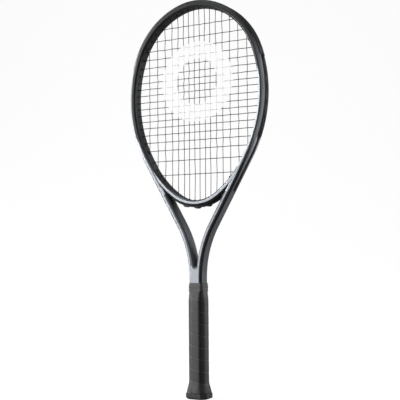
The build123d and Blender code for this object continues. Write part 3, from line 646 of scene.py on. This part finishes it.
def paint_finish():
    """Painted composite: silver on the front flat, black on the bevels, blue-grey outside.
    Round the section the place is offset + drop * side: 0 on the middle of the front flat,
    FLAT at the edge of the flat and WALL where the bevel meets the wall."""
    paint = Finish("frame_paint", IOR=1.5, Coat_Roughness=0.10)
    z = paint.z
    off = frame_offset(paint)
    drop = DEEP / 2 - abs(paint.y)
    around = off + drop * (off.over(0.0, 0.002) * 2 - 1)
    flake = paint.noise(2600.0, 2.0)
    cloud = paint.noise(34.0, 3.0)

    low = 1 - z.over(0.405, 0.075)
    right = paint.x.over(0.0)
    left = 1 - right
    throat = 1 - z.over(0.352, 0.004)
    crotch = 1 - z.over(0.262, 0.075)
    web = z.between(0.350, 0.362, 0.003)
    outer_edge = FLAT + cloud * 0.0003 - right * (0.0020 + 0.0026 * (1 - low) + 0.0009 * throat)
    # Painted highlight: on the right arm above the throat the silver starts at the inner wall and so covers
    # the inner bevel, where a grazing reflection shows; on the left it starts near the middle of the flat.
    inner_edge = left * (0.0080 - web * 0.0044) + right * throat * 0.0062
    inner_edge = inner_edge + left * crotch * 0.0010 - WALL
    silver = (around - inner_edge).over(0.0, 0.0002) * (1 - (around - outer_edge).over(0.0, 0.0002))
    well = root_of_squares(paint.x, z - crotch_z)
    shaft = well.over(0.0062, 0.0003) * (1 - (around - outer_edge).over(0.0, 0.0002))
    silver = silver.choose(1 - z.over(crotch_z), shaft)
    # Painted highlight: the silver ends near Z 0.452 on the left but runs 0.105 m higher on the right, to
    # about Z 0.557, along the right inner bevel.
    silver = silver * (1 - (z - right * 0.105 + cloud * 0.01).over(0.452, 0.012))
    band = (around - 0.0014 - 0.0072 * low).over(0.0, 0.0004)
    band = band * (1 - (around - WALL - low * 0.05).over(0.0, 0.0004))
    top = z.over(0.585, 0.06)

    weave = ((paint.x + z) * 2600.0).maths("SINE") * ((z - paint.x) * 2600.0).maths("SINE")
    black = paint.mix(weave * 0.2 + flake * 0.4, grey(0.010, BLUE), grey(0.030, BLUE))
    inside = paint.mix(flake * 0.6 + weave * 0.2, grey(0.060, BLUE), grey(0.095, BLUE))
    # Painted light: below Z 0.30, and fully below Z 0.225, the inside walls are mixed up to 60 % towards a
    # lighter grey 0.17 in the crotch well.
    inside = paint.mix(crotch * 0.6, inside, grey(0.17, BLUE))
    inside = paint.mix(z.over(0.420, 0.08), inside, black)
    # Painted light: the blue-grey band is lightened from grey 0.38 to 0.58 around Z 0.455, fading out 0.09
    # m above and below.
    middle = 1 - abs(z - 0.455).maths("MULTIPLY", 11.0, clamp=True)
    edge = paint.mix(middle, grey(0.38, BLUE), grey(0.58, BLUE))
    edge = paint.mix(around.over(FLAT, 0.0003), grey(0.13, BLUE), edge)
    side = paint.mix(low, edge, grey(0.13, BLUE))
    side = paint.mix(top, side, grey(0.016, BLUE))
    panel = z.between(0.214, 0.300, 0.003)
    strokes = (z * 900.0 - abs(paint.y) * 900.0 + cloud * 2.0).maths("SINE").over(0.35, 0.5)
    side = paint.mix(panel * 0.5, side, grey(0.045, BLUE))
    side = paint.mix(panel * strokes * 0.6, side, grey(0.16, BLUE))

    colour = paint.mix(off.over(0.0), inside, black)
    colour = paint.mix(band, colour, side)
    colour = paint.mix(silver, colour, paint.mix(flake * 0.6, grey(0.45, BLUE), grey(0.55, BLUE)))
    paint.into("Base Color", colour)
    paint.into("Metallic", (silver + band * (1 - top)) * 0.25)
    paint.into("Roughness", 0.24 + cloud * 0.04 + flake * 0.06)
    paint.into("Coat Weight", 0.12 + top * 0.15)
    paint.bump(flake * 0.3 + paint.noise(420.0, 2.0) * 0.7, 0.00002)
    return paint.material


def bridge_finish():
    """Bridge: bright silver on the front and back flats, dark bevels and walls."""
    paint = Finish("bridge_paint", IOR=1.5, Coat_Roughness=0.12)
    drop = DEEP / 2 - abs(paint.y)
    below = bridge_offset(paint)
    stripe = below.over(-0.0025, 0.0003) * (1 - below.over(0.0012, 0.0003))
    flat = (1 - drop.over(0.0006, 0.0002)) * stripe
    inner = 1 - below.over(0.0, 0.001)
    flake = paint.noise(2600.0, 2.0)
    wall = paint.mix(flake * 0.5, grey(0.012, BLUE), grey(0.035, BLUE))
    lit = paint.mix(flake * 0.5, grey(0.022, BLUE), grey(0.05, BLUE))
    face = paint.mix(flake * 0.6, grey(0.50, BLUE), grey(0.60, BLUE))
    paint.into("Base Color", paint.mix(flat, paint.mix(inner, wall, lit), face))
    paint.into("Metallic", flat * 0.25)
    paint.into("Roughness", 0.26 + flake * 0.08)
    paint.into("Coat Weight", 0.12 + flat * 0.1)
    paint.bump(flake * 0.3 + paint.noise(420.0, 2.0) * 0.7, 0.00002)
    return paint.material


# %% [markdown]
# ## Plastics, rubber and strings
# Guards are moulded nylon: dull, with a fine spark-eroded texture and a trace of wear where
# the tip scrapes the court. Strings are extruded polyester, smooth and slightly shiny, with a
# white stencil in a plain ring. The grip is a soft polymer with a fine pebble, with painted shade on its
# bevels and lower end.

# %% Moulded parts


def nylon_finish():
    """Moulded nylon guard."""
    nylon = Finish("guard_nylon", IOR=1.45)
    fine = nylon.noise(1500.0, 3.0)
    scuff = nylon.noise(90.0, 5.0, 0.7, (1.0, 1.0, 4.0)).over(0.60, 0.12) * nylon.z.over(0.655, 0.03)
    base = nylon.mix(fine, grey(0.010, BLUE), grey(0.020, BLUE))
    nylon.into("Base Color", nylon.mix(scuff * 0.35, base, grey(0.10)))
    nylon.into("Roughness", 0.34 + fine * 0.12 + scuff * 0.2)
    nylon.bump(fine, 0.00004, 0.6)
    return nylon.material


RING_Z, RING_OUT, RING_IN = 0.545, 0.070, 0.040


def string_finish():
    """Polyester string with a plain ring stencilled in white."""
    string = Finish("string_poly", IOR=1.55, Coat_Roughness=0.08)
    away = root_of_squares(string.x, string.z - RING_Z)
    grain = string.noise(700.0, 4.0)
    mask = (away + (grain - 0.5) * 0.002).between(RING_IN, RING_OUT, 0.0006)
    cover = mask * (grain.over(0.18, 0.1) * 0.95)
    base = string.mix(grain, grey(0.008), grey(0.018))
    string.into("Base Color", string.mix(cover, base, grey(0.86)))
    string.into("Roughness", 0.30 + cover * 0.35 + grain * 0.1)
    string.into("Coat Weight", 0.1 - cover * 0.1)
    string.bump(grain * 0.5 + cover * 0.5, 0.00003, 0.6)
    return string.material


def wrap_finish():
    """Cushioned polymer wrap: pebble, a smoother lap edge with a painted highlight, and painted shade on
    the bevels and towards the bottom.
    """
    wrap = Finish("grip_wrap", IOR=1.40)
    pebble = wrap.node("ShaderNodeTexVoronoi", {"feature": "SMOOTH_F1"},
                       {"Vector": wrap.place, "Scale": 1500.0})
    pebble = Value(wrap.tree, pebble.outputs["Distance"])
    cloud = wrap.noise(60.0, 4.0)
    fine = wrap.noise(2200.0, 2.0)
    turn = wrap.y.maths("ARCTAN2", wrap.x) * (1 / (2 * pi))
    phase = ((wrap.z - FIRST_TURN) * (1 / TURN) + turn).maths("FRACT")
    edge = (phase.over(0.965, 0.02) + (1 - phase.over(0.03, 0.03))) * cloud.over(0.42, 0.2)
    base = wrap.mix(cloud, grey(0.048), grey(0.060))
    base = wrap.mix(fine * 0.4, base, grey(0.042))
    wear_and_painted_shade = wrap.mix(cloud.over(0.55, 0.2) * 0.3, base, grey(0.072))
    # Painted shade: on the bevel faces beyond the octagon's corners the wrap colour is mixed 80 % towards a
    # very dark grey 0.008.
    corner = (abs(wrap.x) * 0.707 + abs(wrap.y) * 0.707 - 0.01505).over(0.0, 0.0006)
    wear_and_painted_shade = wrap.mix(corner * 0.80, wear_and_painted_shade, grey(0.008))
    # Painted shade: the wrap is darker towards the bottom of the grip, mixed up to 35 % towards grey 0.022
    # below Z 0.17 and fully below Z 0.04.
    low = 1 - wrap.z.over(0.105, 0.13)
    wear_and_painted_shade = wrap.mix(low * 0.35, wear_and_painted_shade, grey(0.022))
    # Painted highlight: the lap edge of each turn is mixed 35 % towards a lighter grey 0.085.
    wrap.into("Base Color", wrap.mix(edge * 0.35, wear_and_painted_shade, grey(0.085)))
    wrap.into("Roughness", 0.58 + cloud * 0.12 - edge * 0.08)
    wrap.bump(pebble * 0.7 + fine * 0.3, 0.00006, 0.5)
    return wrap.material


def rubber_finish(name, level, rough):
    """Plain rubber or tape with a fine matte skin."""
    rubber = Finish(name, IOR=1.5)
    fine = rubber.noise(1800.0, 3.0)
    rubber.into("Base Color", rubber.mix(fine, grey(level * 0.8), grey(level * 1.3)))
    rubber.into("Roughness", rough + fine * 0.12)
    rubber.bump(fine, 0.00003, 0.6)
    return rubber.material


def cap_finish():
    """Glossy moulded cap with handling marks."""
    cap = Finish("cap_plastic", IOR=1.5, Coat_Roughness=0.1)
    fine = cap.noise(1200.0, 3.0)
    marks = cap.noise(140.0, 5.0, 0.7, (6.0, 1.0, 1.0)).over(0.58, 0.1)
    cap.into("Base Color", cap.mix(fine, grey(0.014), grey(0.024)))
    cap.into("Roughness", 0.40 + marks * 0.12 + fine * 0.06)
    cap.into("Coat Weight", 0.10 - marks * 0.08)
    cap.bump(fine, 0.00002, 0.5)
    return cap.material


def foam_finish(name, dark, light):
    """Closed-cell foam seen on a cut face."""
    foam = Finish(name, IOR=1.4)
    cells = foam.node("ShaderNodeTexVoronoi", {"feature": "F1"}, {"Vector": foam.place, "Scale": 1600.0})
    cell = Value(foam.tree, cells.outputs["Distance"])
    foam.into("Base Color", foam.mix(cell, dark, light))
    foam.into("Roughness", 0.7 + cell * 0.2)
    foam.bump(cell, 0.0001, 0.7)
    return foam.material


def steel_finish():
    """Drawn steel wire."""
    steel = Finish("staple_steel", Metallic=1.0)
    grain = steel.noise(900.0, 4.0, 0.6, (1.0, 6.0, 1.0))
    steel.into("Base Color", steel.mix(grain, grey(0.45), grey(0.62)))
    steel.into("Roughness", 0.28 + grain * 0.15)
    steel.bump(grain, 0.00001, 0.5)
    return steel.material


# %% [markdown]
# ## Finishes on the pieces
# Each real part leaves its own shop in one material, so each gets one finish here, and parts
# that come from the same mould shop share it. A finish could be painted on face by face; one
# material slot per piece is simpler, and it is all that may change on a design node.

# %% Give every piece its finish


def dress(names, material):
    """Put one material on design nodes or new pieces."""
    for name in names:
        piece = nodes[name] if name in nodes else bpy.data.objects[name]
        piece.data.materials.clear()
        piece.data.materials.append(material)


dress(["frame_tube"], paint_finish())
dress(["throat_bridge"], bridge_finish())
dress(["bumper_guard", "grommet_strip_right", "grommet_strip_left", "throat_grommet_strip"],
      nylon_finish())
dress(["woven_mains", "woven_crosses", "tied_main_string_knots", "tied_cross_string_knots"],
      string_finish())
dress(["wound_grip"], wrap_finish())
dress(["grip_collar"], rubber_finish("collar_rubber", 0.028, 0.55))
dress(["finishing_tape"], rubber_finish("tape", 0.035, 0.4))
dress(["balance_slugs"], rubber_finish("slug_rubber", 0.06, 0.6))
dress(["butt_cap", "butt_door"], cap_finish())
dress(["handle_pallet_front", "handle_pallet_back"], foam_finish("pallet_foam", grey(0.02), grey(0.05)))
dress(["foam_core_left", "foam_core_right"],
      foam_finish("core_foam", (0.5, 0.42, 0.22, 1), (0.8, 0.72, 0.45, 1)))
dress(["cap_staples", "wrap_tack"], steel_finish())
print("finishes", sorted(m.name for m in bpy.data.materials if m.users))

# %% [markdown]
# ## Floor, light and camera
# A pale floor that sweeps up into a backdrop keeps the horizon out of sight. The room is an
# even pale world, darker on the camera's side, as it is in a studio that keeps its lamps
# to the left, the right and above: smooth paint then shows a dark line where it faces the
# lens. The camera stands to the front and a little right, level with the grip's top.

# %% Stage
VIEW = radians(29.31)
FAR = 1.484


def backdrop():
    """A floor that bends up behind: a flat run, a quarter circle, then a wall."""
    bend = np.linspace(0, pi / 2, 24)
    run = np.concatenate([[[-6.0, 0.0], [1.5, 0.0]],
                          np.stack([1.5 + 2.0 * np.sin(bend), 2.0 - 2.0 * np.cos(bend)], -1),
                          [[3.5, 9.0]]])
    side = np.linspace(-9, 9, 10)
    back = np.array([-sin(VIEW), cos(VIEW)])
    across = np.array([cos(VIEW), sin(VIEW)])
    flat = run[:, None, :1] * back + side[None, :, None] * across
    points = np.concatenate([flat, np.broadcast_to(run[:, None, 1:], flat.shape[:2] + (1,))], -1)
    return points


sweep_points = backdrop()
faces = grid_faces(sweep_points.shape[0], sweep_points.shape[1], round_cols=False)
mesh = bpy.data.meshes.new("floor")
mesh.from_pydata(sweep_points.reshape(-1, 3).tolist(), [], faces.tolist())
mesh.polygons.foreach_set("use_smooth", np.ones(len(mesh.polygons), bool))
floor = bpy.data.objects.new("floor", mesh)
bpy.context.scene.collection.objects.link(floor)
paper = Finish("paper", Roughness=0.9)
paper.shader.inputs["Base Color"].default_value = grey(0.12)
paper.shader.inputs["Emission Strength"].default_value = 1.0
seen = Value(paper.tree, paper.node("ShaderNodeLightPath").outputs["Is Camera Ray"])
paper.into("Emission Color", paper.mix(seen, grey(0.0), grey(0.90)))
mesh.materials.append(paper.material)


def lamp(name, azimuth, distance, height, size, power, aim=(0.0, 0.0, 0.35)):
    """A square soft lamp that looks at the racket from an azimuth, counted from the front."""
    data = bpy.data.lights.new(name, "AREA")
    data.shape, data.size, data.size_y, data.energy = "RECTANGLE", size[0], size[1], power
    light = bpy.data.objects.new(name, data)
    a = radians(azimuth)
    spot = np.array([distance * sin(a), -distance * cos(a), height])
    ahead = np.array(aim) - spot
    ahead /= np.linalg.norm(ahead)
    right = np.cross(ahead, [0, 0, 1])
    right /= np.linalg.norm(right)
    up = np.cross(right, ahead)
    light.matrix_world = Matrix([[right[i], up[i], -ahead[i], spot[i]] for i in range(3)] + [[0, 0, 0, 1]])
    light.visible_camera = False
    bpy.context.scene.collection.objects.link(light)


lamp("left_lamp", -62, 2.2, 0.8, (1.0, 2.2), 142)
lamp("right_lamp", 121, 2.2, 0.8, (1.0, 2.2), 62)
lamp("top_lamp", -20, 0.8, 2.8, (1.2, 1.2), 14)

world = bpy.data.worlds.new("studio")
bpy.context.scene.world = world
world.use_nodes = True
world_nodes = world.node_tree.nodes
room = world_nodes["Background"]
room.inputs["Color"].default_value = (1, 1, 1, 1)
room.inputs["Strength"].default_value = 0.17
paper_white = world_nodes.new("ShaderNodeBackground")
paper_white.inputs["Color"].default_value = (1, 1, 1, 1)
paper_white.inputs["Strength"].default_value = 0.95
choice = world_nodes.new("ShaderNodeMixShader")
path = world_nodes.new("ShaderNodeLightPath")
join = world.node_tree.links.new
join(path.outputs["Is Camera Ray"], choice.inputs[0])
join(room.outputs[0], choice.inputs[1])
join(paper_white.outputs[0], choice.inputs[2])
join(choice.outputs[0], world_nodes["World Output"].inputs["Surface"])

# %% [markdown]
# ## Camera
# A long lens keeps the racket's two sides nearly parallel, as in a shop picture. Its place
# comes from an azimuth and a distance, and three small angles level the racket in the frame.
# A tracking constraint could aim it too, but it would hide the small roll.

# %% Camera
YAW, PITCH, ROLL = radians(-0.146), radians(3.04), radians(-0.432)
spot = np.array([FAR * sin(VIEW), -FAR * cos(VIEW), 0.2595])
a = VIEW + YAW
ahead = np.array([-sin(a) * cos(PITCH), cos(a) * cos(PITCH), sin(PITCH)])
level = np.array([cos(a), sin(a), 0.0])
up = np.cross(level, ahead)
right = cos(ROLL) * level + sin(ROLL) * up
up = -sin(ROLL) * level + cos(ROLL) * up
eye = bpy.data.cameras.new("eye")
eye.lens, eye.sensor_width, eye.clip_end = 77.5, 36.0, 60.0
camera = bpy.data.objects.new("camera", eye)
camera.matrix_world = Matrix([[right[i], up[i], -ahead[i], spot[i]] for i in range(3)] + [[0, 0, 0, 1]])
bpy.context.scene.collection.objects.link(camera)
bpy.context.scene.camera = camera
bpy.context.scene.view_settings.view_transform = "Standard"
print("camera at", spot.round(3), "lens", eye.lens)
